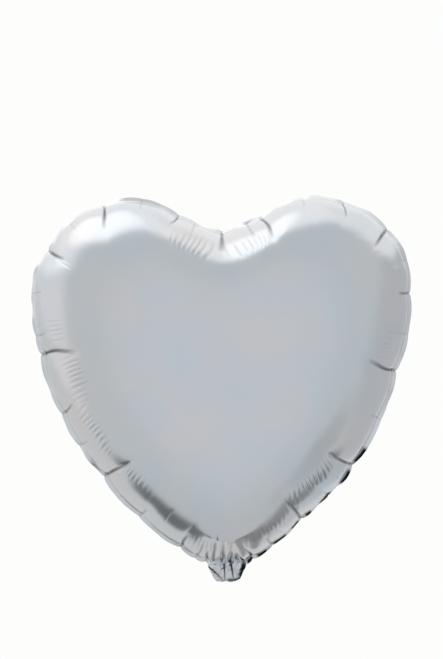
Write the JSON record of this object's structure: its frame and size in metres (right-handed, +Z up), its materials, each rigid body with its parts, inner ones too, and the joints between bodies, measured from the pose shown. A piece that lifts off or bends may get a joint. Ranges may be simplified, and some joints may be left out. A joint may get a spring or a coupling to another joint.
{
  "type": "heart-shaped foil balloon",
  "caption": "Inflated heart-shaped balloon of two welded metallised films, with a flat welded rim, a folded tail and a self-sealing film valve inside.",
  "frame": {"origin": "tail root at the bottom tip, where a ribbon is tied, in the plane of the weld", "axes": "+Z up through the cleft, +X to the viewer's right, the front faces -Y"},
  "size_m": [0.3822, 0.15, 0.3847],
  "materials": {
    "foil": "polished metallised film",
    "valve_film": "clear film"
  },
  "bodies": {
    "balloon": {"front_panel": "foil", "rear_panel": "foil", "valve_neck_front": "valve_film", "valve_neck_rear": "valve_film"},
    "tail": {"tail_flap_front": "foil", "tail_flap_rear": "foil", "valve_mouth_front": "valve_film", "valve_mouth_rear": "valve_film"},
    "front_lip": {"valve_lip_front": "valve_film"},
    "rear_lip": {"valve_lip_rear": "valve_film"}
  },
  "joints": [
    {"name": "tail_fold", "type": "hinge", "parent": "balloon", "child": "tail", "pos_m": [0, 0, -0.0145], "axis": [-1, 0, 0], "range_deg": [0, 170]},
    {"name": "front_lip_opening", "type": "hinge", "parent": "balloon", "child": "front_lip", "pos_m": [0, 0, 0.02015], "axis": [1, 0, 0], "range_deg": [0, 5], "stiffness_Nm_per_rad": 0.0005},
    {"name": "rear_lip_opening", "type": "hinge", "parent": "balloon", "child": "rear_lip", "pos_m": [0, 0, 0.02015], "axis": [1, 0, 0], "range_deg": [-5, 0], "stiffness_Nm_per_rad": 0.0005}
  ],
  "couplings": [
    {"joint": "rear_lip_opening", "follows": "front_lip_opening", "ratio": -1}
  ]
}
